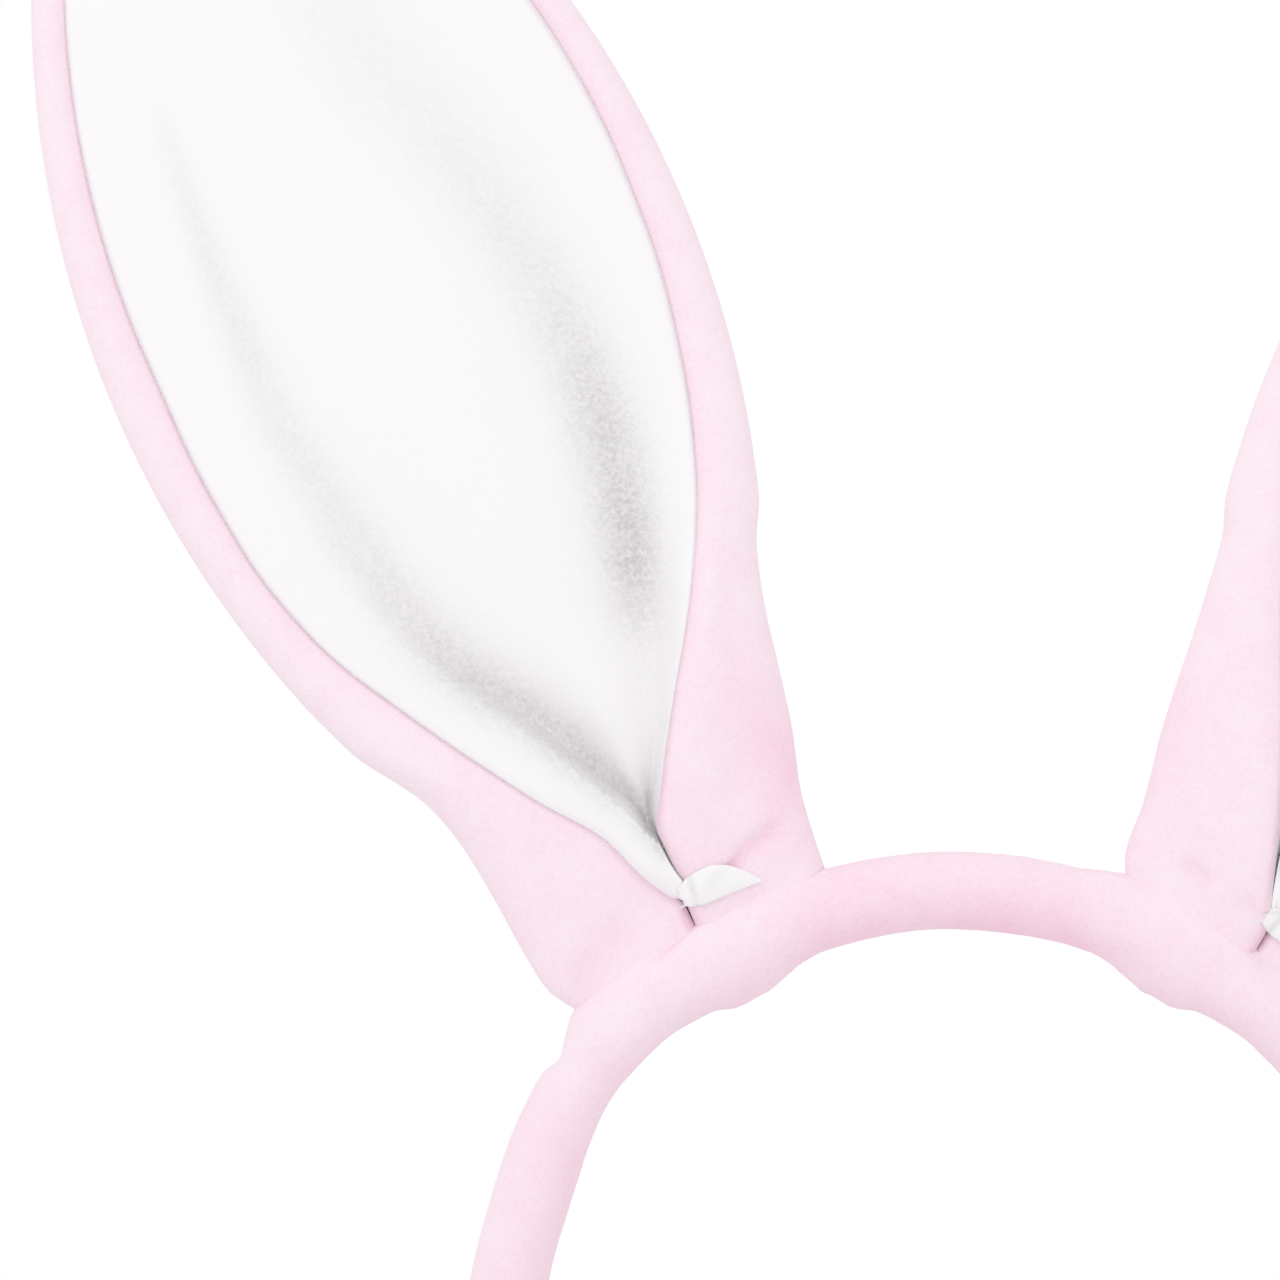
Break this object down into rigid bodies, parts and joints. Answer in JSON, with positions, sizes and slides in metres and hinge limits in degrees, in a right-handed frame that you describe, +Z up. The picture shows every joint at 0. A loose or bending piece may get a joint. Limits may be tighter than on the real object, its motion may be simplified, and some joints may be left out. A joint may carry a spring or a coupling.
{
  "type": "animal ears headband",
  "caption": "Padded velour headband that clips over the head and carries upright, wired, lined rabbit ears that can be bent into shape.",
  "frame": {"origin": "where the inside of the band rests on top of the head, at the crown of the arch", "axes": "+X across the head towards the right-hand ear as seen from the front, -Y is the front, +Z is up"},
  "size_m": [0.3007, 0.0166, 0.2968],
  "materials": {
    "pink_velour": "matte",
    "white_lining": "matte",
    "sewing_thread": "satin",
    "wadding": "matte",
    "core_strip": "satin",
    "ear_wire": "satin"
  },
  "bodies": {
    "crown": {"crown_core": "core_strip", "crown_padding": "wadding", "crown_cover": "pink_velour", "crown_seam_stitches": "sewing_thread", "left_ear_wrap": "pink_velour", "left_wrap_stitches": "sewing_thread", "left_wire_foot": "ear_wire", "right_ear_wrap": "pink_velour", "right_wrap_stitches": "sewing_thread", "right_wire_foot": "ear_wire"},
    "left_arm": {"left_arm_core": "core_strip", "left_arm_padding": "wadding", "left_arm_cover": "pink_velour", "left_arm_seam_stitches": "sewing_thread", "left_arm_end_gather": "sewing_thread"},
    "left_ear": {"left_ear_back": "pink_velour", "left_ear_rim": "pink_velour", "left_ear_lining": "white_lining", "left_ear_wadding": "wadding", "left_ear_wire": "ear_wire", "left_lining_tab": "white_lining", "left_pinch_stitches": "sewing_thread"},
    "left_ear_tip": {"left_tip_back": "pink_velour", "left_tip_rim": "pink_velour", "left_tip_lining": "white_lining", "left_tip_wadding": "wadding", "left_tip_wire": "ear_wire"},
    "right_arm": {"right_arm_core": "core_strip", "right_arm_padding": "wadding", "right_arm_cover": "pink_velour", "right_arm_seam_stitches": "sewing_thread", "right_arm_end_gather": "sewing_thread"},
    "right_ear": {"right_ear_back": "pink_velour", "right_ear_rim": "pink_velour", "right_ear_lining": "white_lining", "right_ear_wadding": "wadding", "right_ear_wire": "ear_wire", "right_lining_tab": "white_lining", "right_pinch_stitches": "sewing_thread"},
    "right_ear_tip": {"right_tip_back": "pink_velour", "right_tip_rim": "pink_velour", "right_tip_lining": "white_lining", "right_tip_wadding": "wadding", "right_tip_wire": "ear_wire"}
  },
  "joints": [
    {"name": "left_arm_flex", "type": "hinge", "parent": "crown", "child": "left_arm", "pos_m": [-0.06713, 0, -0.03368], "axis": [0, 1, 0], "range_deg": [0, 12], "stiffness_Nm_per_rad": 0.5},
    {"name": "left_ear_tilt", "type": "hinge", "parent": "crown", "child": "left_ear", "pos_m": [-0.03915, 0, -0.00692], "axis": [0.809, 0, 0.5878], "range_deg": [-45, 45]},
    {"name": "left_ear_fold", "type": "hinge", "parent": "left_ear", "child": "left_ear_tip", "pos_m": [-0.08145, 0, 0.08809], "axis": [0.9135, 0, 0.4067], "range_deg": [-45, 90]},
    {"name": "right_arm_flex", "type": "hinge", "parent": "crown", "child": "right_arm", "pos_m": [0.06713, 0, -0.03368], "axis": [0, -1, 0], "range_deg": [0, 12], "stiffness_Nm_per_rad": 0.5},
    {"name": "right_ear_tilt", "type": "hinge", "parent": "crown", "child": "right_ear", "pos_m": [0.03915, 0, -0.00692], "axis": [0.809, 0, -0.5878], "range_deg": [-45, 45]},
    {"name": "right_ear_fold", "type": "hinge", "parent": "right_ear", "child": "right_ear_tip", "pos_m": [0.09579, 0, 0.0803], "axis": [0.8387, 0, -0.5446], "range_deg": [-45, 90]}
  ]
}
